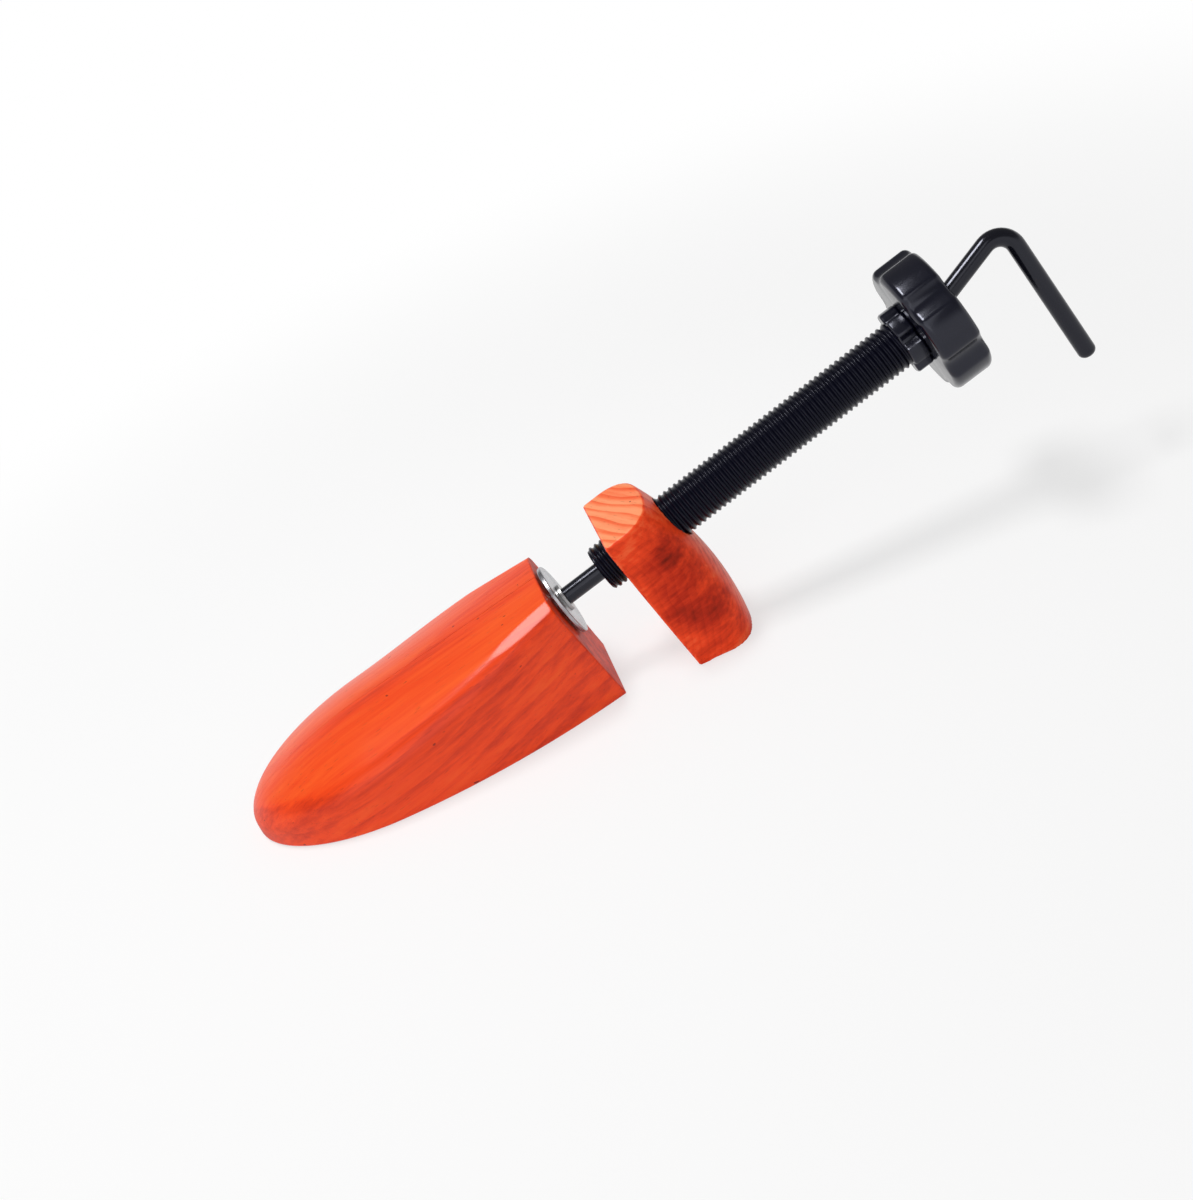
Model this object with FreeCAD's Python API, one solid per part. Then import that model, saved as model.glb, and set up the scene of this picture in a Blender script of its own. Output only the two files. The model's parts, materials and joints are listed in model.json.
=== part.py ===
import FreeCAD, Part
import math
import os

from FreeCAD import Matrix, Placement, Rotation, Vector

# Two-way shoe stretcher: a split wooden toe block, a wooden heel block and one screw axis through both.
# All lengths are in millimetres. The toe points to -X, the crank to +X, and the sole stands on Z = 0.
# The axis frame has its X along the screw axis, with zero at the toe block's rear face.

# Screw axis and fits
screw_tilt = 15.0  # degrees, screw axis over the floor
axis_height = 40.0  # screw axis over the floor, at the toe block's rear face
turn_gap = 0.05  # round a shaft or thread that turns
slide_gap = 0.3  # beside a face that slides
split_gap = 0.4  # between the closed toe halves
cut_overrun = 5.0  # how far a cut runs past the solid

# Toe block
toe_length = 150.0
ball_from_rear = 90.0  # widest place, ahead of the rear face
toe_rear_half_width = 25.0
ball_half_width = 39.0
toe_top_over_axis = 15.5  # at the rear face
toe_top_slope = 12.0  # degrees, down towards the toe
rear_shoulder_radius = 7.0
ball_shoulder_radius = 12.0
rear_crown_radius = 200.0
ball_crown_radius = 70.0
sole_edge_round = 1.5
toe_station_shares = (-0.2, 0.1, 0.4, 0.7, 1.0)  # loft sections, of the length from rear to ball

# Thrust disc and spreader yoke inside the toe block
disc_radius = 16.0
disc_thickness = 2.0
disc_gap = 1.2  # behind the wood
disc_edge_round = 0.5
hub_radius = 7.0
spigot_radius = 5.5
rear_wall = 3.6  # wood between the yoke and the rear face
yoke_length = 74.0
yoke_leg = 6.0
yoke_half_width = 8.0
yoke_base_depth = 16.5  # underside of the base bar, under the axis
yoke_base_thickness = 7.0
yoke_leg_height = 8.0  # top of both legs, over the axis
pin_radius = 2.5
pin_half_length = 24.0
pin_inset = 12.0  # from each end of the yoke
bush_wall = 1.5
guide_bush_length = 14.0
pin_end_room = 1.0

# Width drive: wedge, ramp rails and the thread on the rod
ramp_angle = 16.0  # degrees
wedge_length = 20.0
wedge_front_half_width = 17.8
wedge_front_room = 4.0  # between the yoke's front leg and the wedge at rest
wedge_top = 8.0
rail_length = 37.0
rail_base_thickness = 2.5
rail_half_height = 7.0
rail_stem_length = 2.0
rail_stem_half_height = 2.0
rail_head_thickness = 1.8
rail_head_half_height = 3.4
rail_screw_radius = 1.5
rail_screw_head_radius = 2.2
rail_screw_head_depth = 1.2
rail_screw_length = 10.0
rail_screw_offset = 4.6  # from the rail's middle line
rail_screw_inset = 8.0  # from each end of the rail
spreader_thread_radius = 3.5
thread_end_length = 4.0  # thread past the yoke's front leg
stop_radius = 6.0
stop_thickness = 2.4
clip_radius = 6.0
clip_thickness = 1.2
clip_gap = 0.1

# Crank rod
rod_radius = 3.75
crank_turn = -13.0  # degrees, lever from straight down towards the near side
crank_lean = 16.3  # degrees, first leg off the screw axis
kink_radius = 12.0
bend_over_knob = 33.8  # corner of the bend, past the knob's end face
bend_radius = 8.0
lever_reach = 51.5  # lever's end, from the screw axis
lever_end_round = 2.8

# Length tube, knob and lock nut
tube_front = 22.0
tube_radius = 10.0
thread_pitch = 2.5
thread_depth = 0.9
thread_crest_share = 0.25  # of the pitch, and the same for the root
tube_end_chamfer = 1.4
tube_bore_gap = 0.75  # between the rod and the tube's own bore
collar_bay_radius = 7.0
collar_radius = 6.6
collar_length = 5.0
collar_inset = 1.0  # behind the tube's front end
collar_pin_radius = 1.0
washer_thickness = 1.0
tube_bush_radius = 6.0
tube_bush_length = 10.0
rear_bay_depth = 9.2  # for the rod's clip and the start of its lean
nut_front = 169.5
nut_length = 7.4
nut_radius = 13.8
nut_notch_radius = 11.6
nut_lug_share = 0.8
nut_turn = -36.0  # degrees, a lug from straight up towards the left
nut_edge_round = 1.2
knob_length = 17.8
knob_radius = 28.5
knob_scallop_radius = 26.0
knob_lobe_share = 0.61
knob_turn = -17.0  # degrees, a lobe from straight up towards the left
knob_edge_round = 3.0
mouth_depth = 8.0
grip_count = 6

# Heel block
heel_front = 30.5
heel_top_over_axis = 17.5
heel_bulge_under_axis = 14.0
heel_foot_under_axis = 66.0
heel_top_half_width = 21.3
heel_bulge_half_width = 24.5
heel_foot_half_width = 22.5
heel_top_depth = 23.3
heel_bulge_depth = 30.5
heel_foot_depth = 25.5
heel_top_corner = 14.0
heel_bulge_corner = 15.0
heel_foot_corner = 13.0
heel_back_bow = 42.0
heel_top_round = 1.2
insert_radius = 12.2
insert_length = 20.0
flange_half_width = 20.0
flange_half_height = 13.0
flange_thickness = 2.5
insert_screw_radius = 2.0
insert_screw_head_radius = 3.4
insert_screw_head_depth = 1.6
insert_screw_length = 16.0
insert_screw_offset = 15.8

# Places that follow from the sizes
origin = Vector(0, 0, 0)
axis_x = Vector(1, 0, 0)
axis_y = Vector(0, 1, 0)
axis_z = Vector(0, 0, 1)
screw_frame = Placement(Vector(0, 0, axis_height), Rotation(axis_y, -screw_tilt))
tilt = math.radians(screw_tilt)
ramp = math.radians(ramp_angle)
toe_slope = math.tan(math.radians(toe_top_slope))
toe_top = axis_height + toe_top_over_axis / math.cos(tilt)
toe_nose_length = toe_length - ball_from_rear
disc_rear = disc_gap + disc_thickness
yoke_rear = -(rear_wall + slide_gap)
yoke_front = yoke_rear - yoke_length
yoke_base_top = yoke_base_thickness - yoke_base_depth
pin_height = yoke_base_thickness / 2 - yoke_base_depth
pin_places = (yoke_rear - pin_inset, yoke_front + pin_inset)
wedge_bottom = max(yoke_base_top, pin_height + pin_radius + bush_wall) + slide_gap
wedge_front = yoke_front + yoke_leg + wedge_front_room
wedge_frame = Placement(Vector(wedge_front, wedge_front_half_width, 0), Rotation(axis_z, -ramp_angle))
rail_seat = slide_gap + rail_base_thickness
rod_bore_radius = rod_radius + turn_gap
knob_front = nut_front + nut_length
knob_rear = knob_front + knob_length
tube_rear = knob_rear - mouth_depth
rear_bay = tube_rear - rear_bay_depth
rear_clip_front = rear_bay + washer_thickness + clip_gap
kink_setback = kink_radius * math.tan(math.radians(crank_lean / 2))
kink_place = rear_clip_front + clip_thickness + slide_gap + kink_setback
bend_place = knob_rear + bend_over_knob


def room_for_lean(place):
    """Radius round the axis that clears the leaning rod, at a place behind its kink."""
    lean = math.radians(crank_lean)
    return (place - kink_place) * math.tan(lean) + rod_radius / math.cos(lean) + slide_gap


rear_bay_radius = max(room_for_lean(tube_rear), clip_radius + slide_gap)
mouth_radius = room_for_lean(knob_rear)


def rod(start, end, radius):
    """A round bar along the screw axis."""
    return Part.makeCylinder(radius, end - start, Vector(start, 0, 0), axis_x)


def ring(start, end, outer, inner):
    """A round bar with a bore through it."""
    return rod(start, end, outer).cut(rod(start - cut_overrun, end + cut_overrun, inner))


def cross_pin(place, height, start, end, radius):
    """A round bar across the screw axis, from side to side."""
    return Part.makeCylinder(radius, end - start, Vector(place, start, height), axis_y)


def block(low, high):
    """A box between two corners."""
    size = high - low
    return Part.makeBox(size.x, size.y, size.z, low)


def prism(points, low, high):
    """A plan outline of (x, y) points, raised from one level to another."""
    corners = [Vector(x, y, low) for x, y in points]
    return Part.Face(Part.makePolygon(corners + corners[:1])).extrude(Vector(0, 0, high - low))


def placed(shape, frame):
    """A copy of a shape, carried from a local frame into the one around it."""
    copy = shape.copy()
    copy.Placement = frame.multiply(copy.Placement)
    return copy


def mirrored(shape):
    return shape.mirror(origin, axis_y)


def crowned_edges(half_width, top, crown, shoulder, to_point):
    """Shoulder arc and crown arc, tangent to each other, from an upright side to the middle line.

    to_point turns (across, up) into a point. The edges and the height of the side's end come back.
    """
    rise = math.sqrt((crown - shoulder) ** 2 - (half_width - shoulder) ** 2)
    side_end = top - crown + rise
    turn = math.atan2(rise, half_width - shoulder)

    def on_shoulder(angle):
        across = half_width - shoulder + shoulder * math.cos(angle)
        return to_point(across, side_end + shoulder * math.sin(angle))

    def on_crown(angle):
        return to_point(crown * math.cos(angle), top - crown + crown * math.sin(angle))

    upright = math.pi / 2
    shoulder_arc = Part.Arc(on_shoulder(0), on_shoulder(turn / 2), on_shoulder(turn))
    crown_arc = Part.Arc(on_crown(turn), on_crown((turn + upright) / 2), on_crown(upright))
    return [shoulder_arc.toShape(), crown_arc.toShape()], side_end


# Toe block


def toe_section(distance):
    """Outline of the left half, across the block at a distance ahead of the rear face."""
    taper = (1 - distance / ball_from_rear) ** 2
    half_width = ball_half_width + (toe_rear_half_width - ball_half_width) * taper
    crown = ball_crown_radius + (rear_crown_radius - ball_crown_radius) * taper
    shoulder = ball_shoulder_radius + (rear_shoulder_radius - ball_shoulder_radius) * taper
    top = toe_top - distance * toe_slope
    low = -cut_overrun - toe_nose_length * toe_slope

    def at(across, up):
        return Vector(-distance, across, up)

    arcs, side_end = crowned_edges(half_width, top, crown, shoulder, at)
    inner = Part.makeLine(at(0, top), at(0, low))
    bottom = Part.makeLine(at(0, low), at(half_width, low))
    side = Part.makeLine(at(half_width, low), at(half_width, side_end))
    return Part.Wire([bottom, side] + arcs + [inner])


def toe_nose():
    """Rounded nose: the widest section swung round the middle line, drawn out and sloped forward."""
    section = Part.Face(toe_section(ball_from_rear))
    section.translate(Vector(ball_from_rear, 0, 0))
    quarter = section.revolve(origin, axis_z, 90)
    drawn = Matrix()
    drawn.A11 = toe_nose_length / ball_half_width
    drawn.A31 = toe_slope * toe_nose_length / ball_half_width
    nose = quarter.transformGeometry(drawn)
    nose.translate(Vector(-ball_from_rear, 0, 0))
    return nose


def toe_blank():
    """Left half of the block, before its inside is cut."""
    sections = [toe_section(share * ball_from_rear) for share in toe_station_shares]
    body = Part.makeLoft(sections, True, False).fuse(toe_nose()).removeSplitter()
    reach = toe_length + cut_overrun
    keep = block(Vector(-reach, split_gap / 2, 0), Vector(reach, reach, reach))
    behind = block(Vector(0, -reach, -reach), Vector(reach, reach, reach))
    return body.common(keep).cut(placed(behind, screw_frame))


def seat_width(place):
    """Half width of the wedge bay, at a place along the axis: the back of the rail lies on it."""
    slope = (place - wedge_front) * math.tan(ramp)
    return wedge_front_half_width - slope + rail_seat / math.cos(ramp)


def yoke_bays():
    """Room for the yoke's bar and legs, and for what the rod carries at both ends of it."""
    side = yoke_half_width + slide_gap
    floor = -(yoke_base_depth + slide_gap)
    roof = yoke_leg_height + slide_gap
    front = yoke_front - slide_gap
    bar = block(Vector(front, -side, floor), Vector(-rear_wall, side, yoke_base_top + slide_gap))
    leg_room = yoke_leg + clip_thickness + 2 * slide_gap
    rear_leg = block(Vector(yoke_rear - leg_room, -side, floor), Vector(-rear_wall, side, roof))
    front_leg = block(Vector(front, -side, floor), Vector(wedge_front, side, roof))
    stop = rod(front - thread_end_length - slide_gap, front, stop_radius + slide_gap)
    hub = rod(-rear_wall - cut_overrun, cut_overrun, hub_radius + slide_gap)
    return [bar, rear_leg, front_leg, stop, hub]


def wedge_bay():
    front = wedge_front - wedge_front_room
    rear = yoke_rear - yoke_leg
    plan = [
        (front, -cut_overrun),
        (front, seat_width(front)),
        (rear, seat_width(rear)),
        (rear, -cut_overrun),
    ]
    return prism(plan, wedge_bottom - slide_gap, wedge_top + slide_gap)


def pin_bays():
    """Blind holes for the guide bushes, and past them for the ends of the pins."""
    start = yoke_half_width
    bushes = [cross_pin(x, pin_height, start, start + slide_gap + guide_bush_length, pin_radius + bush_wall)
              for x in pin_places]
    ends = [cross_pin(x, pin_height, start, pin_half_length + pin_end_room, pin_radius + slide_gap)
            for x in pin_places]
    return bushes + ends


def toe_half():
    """Left toe half. The right one is its mirror image."""
    half = toe_blank()
    sole = [edge for edge in half.Edges if is_sole_rim(edge)]
    half = half.makeFillet(sole_edge_round, sole)
    cuts = yoke_bays() + pin_bays() + [wedge_bay()] + rail_screw_shapes(rail_screw_radius)
    return half.cut([placed(cut, screw_frame) for cut in cuts])


def is_sole_rim(edge):
    """True on the outer edge of the sole, along the side and round the nose."""
    box = edge.BoundBox
    return box.ZMax < sole_edge_round and box.YLength > sole_edge_round and box.XLength > sole_edge_round


def rail_screw_places():
    near = Vector(rail_screw_inset, slide_gap, rail_screw_offset)
    far = Vector(rail_length - rail_screw_inset, slide_gap, -rail_screw_offset)
    return [near, far]


def rail_screw_shapes(shank_radius):
    """Countersunk screws, square to the ramp, in the axis frame."""
    screws = []
    for place in rail_screw_places():
        shank = Part.makeCylinder(shank_radius, rail_screw_length, place, axis_y)
        head = Part.makeCone(rail_screw_head_radius, rail_screw_radius, rail_screw_head_depth, place, axis_y)
        screws.append(placed(shank.fuse(head), wedge_frame))
    return screws


def rail_section(gap):
    """Stem and head of a rail along its whole length, with room round them."""
    length = rail_length
    neck = -rail_stem_length
    stem_low = Vector(0, neck - gap, -rail_stem_half_height - gap)
    stem_high = Vector(length, rail_seat, rail_stem_half_height + gap)
    head_low = Vector(0, neck - rail_head_thickness - gap, -rail_head_half_height - gap)
    head_high = Vector(length, neck + gap, rail_head_half_height + gap)
    return block(stem_low, stem_high).fuse(block(head_low, head_high))


def ramp_rail():
    """T rail on the left half's ramp."""
    base = block(Vector(0, slide_gap, -rail_half_height), Vector(rail_length, rail_seat, rail_half_height))
    rail = placed(base.fuse(rail_section(0)), wedge_frame)
    return rail.cut(rail_screw_shapes(rail_screw_radius)).removeSplitter()


def guide_bushes():
    start = yoke_half_width + slide_gap
    end = start + guide_bush_length
    bushes = []
    for x in pin_places:
        sleeve = cross_pin(x, pin_height, start, end, pin_radius + bush_wall)
        bore = cross_pin(x, pin_height, start - cut_overrun, end + cut_overrun, pin_radius + turn_gap)
        bushes.append(sleeve.cut(bore))
    return Part.makeCompound(bushes)


# Spreader frame


def spreader_yoke():
    """U bracket: a base bar under the wedge, and two legs that carry the rod."""
    side = yoke_half_width
    floor = -yoke_base_depth
    bar = block(Vector(yoke_front, -side, floor), Vector(yoke_rear, side, yoke_base_top))
    rear_leg = block(Vector(yoke_rear - yoke_leg, -side, floor), Vector(yoke_rear, side, yoke_leg_height))
    front_leg = block(Vector(yoke_front, -side, floor), Vector(yoke_front + yoke_leg, side, yoke_leg_height))
    spigot_hole = rod(yoke_rear - yoke_leg - cut_overrun, yoke_rear + cut_overrun, spigot_radius)
    thread_hole = rod(yoke_front - cut_overrun, wedge_front, spreader_thread_radius + turn_gap)
    pins = [cross_pin(x, pin_height, -side - cut_overrun, side + cut_overrun, pin_radius) for x in pin_places]
    return bar.fuse([rear_leg, front_leg]).removeSplitter().cut([spigot_hole, thread_hole] + pins)


def guide_pins():
    pins = [cross_pin(x, pin_height, -pin_half_length, pin_half_length, pin_radius) for x in pin_places]
    return Part.makeCompound(pins)


def thrust_disc():
    """Bright disc with a hub through the rear wall and a spigot pressed into the yoke."""
    disc = rod(disc_gap, disc_rear, disc_radius)
    disc = disc.makeFillet(disc_edge_round, [e for e in disc.Edges if e.Closed])
    hub = rod(yoke_rear, disc_gap + disc_edge_round, hub_radius)
    spigot = rod(yoke_rear - yoke_leg, yoke_rear, spigot_radius)
    bore = rod(yoke_rear - yoke_leg - cut_overrun, disc_rear + cut_overrun, rod_bore_radius)
    return disc.fuse([hub, spigot]).cut(bore)


def wedge_nut():
    """Wedge on the rod's thread, with a T slot along each flank."""
    rear_half_width = wedge_front_half_width - wedge_length * math.tan(ramp)
    rear = wedge_front + wedge_length
    plan = [
        (wedge_front, -wedge_front_half_width),
        (rear, -rear_half_width),
        (rear, rear_half_width),
        (wedge_front, wedge_front_half_width),
    ]
    wedge = prism(plan, wedge_bottom, wedge_top)
    slot = rail_section(slide_gap)
    slot.translate(Vector(-cut_overrun, 0, 0))
    slot = placed(slot, wedge_frame)
    bore = rod(wedge_front - cut_overrun, rear + cut_overrun, spreader_thread_radius + turn_gap)
    return wedge.cut([slot, mirrored(slot), bore])


# Crank rod and what it carries


def rounded_path(corners, radii):
    """Straight runs through the corners, joined by tangent arcs."""
    edges = []
    start = corners[0]
    for before, corner, after, radius in zip(corners, corners[1:], corners[2:], radii):
        back = (before - corner).normalize()
        ahead = (after - corner).normalize()
        half_angle = back.getAngle(ahead) / 2
        setback = radius / math.tan(half_angle)
        middle = (back + ahead).normalize()
        apex = corner + middle * (radius / math.sin(half_angle) - radius)
        leave = corner + back * setback
        join = corner + ahead * setback
        edges.append(Part.makeLine(start, leave))
        edges.append(Part.Arc(leave, apex, join).toShape())
        start = join
    edges.append(Part.makeLine(start, corners[-1]))
    return Part.Wire(edges)


def crank_rod():
    """Rod with the spreader thread's blank at its front end and the crank at its rear end."""
    lean_rise = (bend_place - kink_place) * math.tan(math.radians(crank_lean))
    step = yoke_rear - yoke_leg
    corners = [
        Vector(step, 0, 0),
        Vector(kink_place, 0, 0),
        Vector(bend_place, 0, lean_rise),
        Vector(bend_place, 0, -lever_reach),
    ]
    path = rounded_path(corners, (kink_radius, bend_radius))
    circle = Part.Wire(Part.makeCircle(rod_radius, corners[0], axis_x))
    bar = path.makePipeShell([circle], True, False)
    tip = [edge for edge in bar.Edges if edge.Closed and edge.BoundBox.ZMax < -lever_reach + rod_radius]
    bar = bar.makeFillet(lever_end_round, tip)
    bar.rotate(origin, axis_x, crank_turn)
    thread = rod(yoke_front - thread_end_length, step, spreader_thread_radius)
    return bar.fuse(thread).cut(collar_pin_shape())


def rod_clips():
    """Two rings on the rod: behind the disc, and ahead of the yoke's rear leg."""
    behind = disc_rear + clip_gap
    ahead = yoke_rear - yoke_leg - clip_gap
    rear = ring(behind, behind + clip_thickness, clip_radius, rod_radius)
    front = ring(ahead - clip_thickness, ahead, clip_radius, spreader_thread_radius)
    return Part.makeCompound([rear, front])


def end_stop():
    rear = yoke_front - clip_gap
    return ring(rear - stop_thickness, rear, stop_radius, spreader_thread_radius)


def collar_pin_shape():
    middle = tube_front + collar_inset + collar_length / 2
    return cross_pin(middle, 0, -collar_radius, collar_radius, collar_pin_radius)


def thrust_collar():
    front = tube_front + collar_inset
    return ring(front, front + collar_length, collar_radius, rod_radius).cut(collar_pin_shape())


def rear_clip():
    return ring(rear_clip_front, rear_clip_front + clip_thickness, clip_radius, rod_radius)


# Length tube, knob and lock nut


def bush_front():
    """Front end of the tube's front bush, behind the collar and its washer."""
    return tube_front + collar_inset + collar_length + clip_gap + washer_thickness


def thread_corners():
    """Corners of one pitch of the thread, as (radius, place along the axis), from root to root."""
    root = tube_radius - thread_depth
    crest_length = thread_crest_share * thread_pitch
    crest_start = thread_pitch / 2
    return [
        (root, 0),
        (root, crest_length),
        (tube_radius, crest_start),
        (tube_radius, crest_start + crest_length),
        (root, thread_pitch),
    ]


def raised(shape, height):
    copy = shape.copy()
    copy.translate(Vector(0, 0, height))
    return copy


def threaded_bar(start, end):
    """A right-hand threaded bar, a turn longer than asked for at both ends.

    One turn of helical faces is repeated along the bar. A winding ramp and an upright step close each end.
    """
    corners = thread_corners()
    helices = [raised(Part.makeHelix(thread_pitch, thread_pitch, radius).Edges[0], place)
               for radius, place in corners]
    one_turn = [Part.makeRuledSurface(low, high) for low, high in zip(helices, helices[1:])]
    turns = math.ceil((end - start) / thread_pitch) + 2
    faces = [raised(face, i * thread_pitch) for i in range(turns) for face in one_turn]
    outline = [Vector(radius, 0, place) for radius, place in corners]
    outline = [origin] + outline + [Vector(0, 0, thread_pitch), origin]
    ramp_face = Part.makeRuledSurface(Part.makeLine(origin, Vector(0, 0, thread_pitch)), helices[0])
    for end_face in (ramp_face, Part.Face(Part.makePolygon(outline))):
        faces += [end_face, raised(end_face, turns * thread_pitch)]
    shell = Part.makeShell(faces)
    shell.sewShape()
    along_axis = Placement(Vector(start - thread_pitch, 0, 0), Rotation(axis_z, axis_x))
    return placed(Part.makeSolid(shell), along_axis)


def length_tube():
    """Threaded tube with chamfered ends, and bays for the collar and the two bushes."""
    blank = rod(tube_front, tube_rear, tube_radius + slide_gap)
    rims = [edge for edge in blank.Edges if edge.Closed]
    tube = threaded_bar(tube_front, tube_rear).common(blank.makeChamfer(tube_end_chamfer, rims))
    bore = rod(tube_front - cut_overrun, tube_rear + cut_overrun, rod_radius + tube_bore_gap)
    collar_bay = rod(tube_front - cut_overrun, bush_front(), collar_bay_radius)
    front_bay = rod(tube_front, bush_front() + tube_bush_length, tube_bush_radius)
    bush_bay = rod(rear_bay - tube_bush_length, tube_rear, tube_bush_radius)
    clip_bay = rod(rear_bay, tube_rear + cut_overrun, rear_bay_radius)
    return tube.cut([bore, collar_bay, front_bay, bush_bay, clip_bay])


def tube_bush(front):
    return ring(front, front + tube_bush_length, tube_bush_radius, rod_bore_radius)


def washer(front, radius):
    return ring(front, front + washer_thickness, radius, rod_bore_radius)


def lobed_prism(start, length, outer, waist, lobe_share, turn):
    """A bar along the axis with rounded lobes and a hollow between each pair."""
    step = 2 * math.pi / grip_count
    half_lobe = step * lobe_share / 2

    def at(radius, angle):
        return Vector(start, radius * math.sin(angle), radius * math.cos(angle))

    edges = []
    for i in range(grip_count):
        middle = i * step + math.radians(turn)
        end = middle + half_lobe
        next_start = middle + step - half_lobe
        lobe = Part.Arc(at(outer, middle - half_lobe), at(outer, middle), at(outer, end))
        hollow = Part.Arc(at(outer, end), at(waist, middle + step / 2), at(outer, next_start))
        edges += [lobe.toShape(), hollow.toShape()]
    return Part.Face(Part.Wire(edges)).extrude(Vector(length, 0, 0))


def turned_blank(start, length, radius, edge_round):
    """A round blank with both rims rounded over."""
    blank = rod(start, start + length, radius)
    return blank.makeFillet(edge_round, [edge for edge in blank.Edges if edge.Closed])


def length_knob():
    """Six-lobed knob, screwed on the tube, with a mouth for the rod at its end face."""
    knob = lobed_prism(knob_front, knob_length, knob_radius, knob_scallop_radius, knob_lobe_share, knob_turn)
    knob = knob.common(turned_blank(knob_front, knob_length, knob_radius, knob_edge_round))
    bore = rod(knob_front - cut_overrun, tube_rear, tube_radius)
    mouth = rod(tube_rear, knob_rear + cut_overrun, mouth_radius)
    return knob.cut([bore, mouth])


def lock_nut():
    """Six-lug nut that jams the knob on the tube."""
    nut = lobed_prism(nut_front, nut_length, nut_radius, nut_notch_radius, nut_lug_share, nut_turn)
    nut = nut.common(turned_blank(nut_front, nut_length, nut_radius, nut_edge_round))
    return nut.cut(rod(nut_front - cut_overrun, knob_front + cut_overrun, tube_radius))


# Heel block


def heel_section(height, half_width, depth, corner):
    """Plan outline of the heel block at a height over the axis: flat front, bowed back."""

    def near(across, back):
        return Vector(heel_front + back, across, height)

    def far(across, back):
        return near(-across, back)

    near_arcs, side_end = crowned_edges(half_width, depth, heel_back_bow, corner, near)
    far_arcs, side_end = crowned_edges(half_width, depth, heel_back_bow, corner, far)
    front = Part.makeLine(far(half_width, 0), near(half_width, 0))
    near_side = Part.makeLine(near(half_width, 0), near(half_width, side_end))
    far_side = Part.makeLine(far(half_width, side_end), far(half_width, 0))
    return Part.Wire([front, near_side] + near_arcs + far_arcs[::-1] + [far_side])


def heel_block():
    """Wooden heel block, cut flat where it stands on the floor."""
    sections = [
        heel_section(heel_top_over_axis, heel_top_half_width, heel_top_depth, heel_top_corner),
        heel_section(-heel_bulge_under_axis, heel_bulge_half_width, heel_bulge_depth, heel_bulge_corner),
        heel_section(-heel_foot_under_axis, heel_foot_half_width, heel_foot_depth, heel_foot_corner),
    ]
    body = Part.makeLoft(sections, True, False)
    top_rim = [edge for edge in body.Edges if edge.BoundBox.ZMin > heel_top_over_axis - heel_top_round]
    body = body.makeFillet(heel_top_round, top_rim)
    cuts = [
        rod(heel_front - cut_overrun, heel_front + insert_length, insert_radius),
        rod(heel_front, heel_front + heel_bulge_depth + cut_overrun, tube_radius + slide_gap),
        insert_flange(0),
    ] + insert_screw_shapes()
    floor = heel_foot_under_axis + axis_height
    under = block(Vector(-floor, -floor, -floor), Vector(floor, floor, 0))
    return placed(body.cut(cuts), screw_frame).cut(under)


def insert_flange(margin):
    """Long flange with round ends, let into the heel block's front face."""
    straight = flange_half_width - flange_half_height
    half_height = flange_half_height + margin
    end = heel_front + flange_thickness
    bar = block(Vector(heel_front, -straight, -half_height), Vector(end, straight, half_height))
    ends = [Part.makeCylinder(half_height, flange_thickness, Vector(heel_front, y, 0), axis_x)
            for y in (-straight, straight)]
    return bar.fuse(ends).removeSplitter()


def insert_screw_shapes():
    screws = []
    for y in (-insert_screw_offset, insert_screw_offset):
        place = Vector(heel_front, y, 0)
        shank = Part.makeCylinder(insert_screw_radius, insert_screw_length, place, axis_x)
        head = Part.makeCone(insert_screw_head_radius, insert_screw_radius, insert_screw_head_depth,
                             place, axis_x)
        screws.append(shank.fuse(head))
    return screws


def heel_insert():
    """Threaded sleeve that the tube runs in, with a flange screwed to the wood."""
    sleeve = rod(heel_front, heel_front + insert_length, insert_radius).fuse(insert_flange(0))
    bore = rod(heel_front - cut_overrun, heel_front + insert_length + cut_overrun, tube_radius + turn_gap)
    return sleeve.cut([bore] + insert_screw_shapes()).removeSplitter()


def on_axis(shape):
    return placed(shape, screw_frame)


def build():
    """Every piece by name, in the floor frame with its origin under the toe block's rear face."""
    half = toe_half()
    rail = on_axis(ramp_rail())
    rail_screws = on_axis(Part.makeCompound(rail_screw_shapes(rail_screw_radius)))
    bushes = on_axis(guide_bushes())
    collar_rear = tube_front + collar_inset + collar_length
    return {
        "toe_half_left": half,
        "toe_half_right": mirrored(half),
        "ramp_rail_left": rail,
        "ramp_rail_right": mirrored(rail),
        "rail_screws_left": rail_screws,
        "rail_screws_right": mirrored(rail_screws),
        "guide_bushes_left": bushes,
        "guide_bushes_right": mirrored(bushes),
        "spreader_yoke": on_axis(spreader_yoke()),
        "guide_pins": on_axis(guide_pins()),
        "thrust_disc": on_axis(thrust_disc()),
        "wedge_nut": on_axis(wedge_nut()),
        "crank_rod": on_axis(crank_rod()),
        "rod_clips": on_axis(rod_clips()),
        "end_stop": on_axis(end_stop()),
        "thrust_collar": on_axis(thrust_collar()),
        "collar_pin": on_axis(collar_pin_shape()),
        "rear_clip": on_axis(rear_clip()),
        "length_tube": on_axis(length_tube()),
        "front_washer": on_axis(washer(collar_rear + clip_gap, collar_radius)),
        "front_bush": on_axis(tube_bush(bush_front())),
        "rear_bush": on_axis(tube_bush(rear_bay - tube_bush_length)),
        "rear_washer": on_axis(washer(rear_bay, clip_radius)),
        "length_knob": on_axis(length_knob()),
        "lock_nut": on_axis(lock_nut()),
        "heel_block": heel_block(),
        "heel_insert": on_axis(heel_insert()),
        "insert_screws": on_axis(Part.makeCompound(insert_screw_shapes())),
    }


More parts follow.
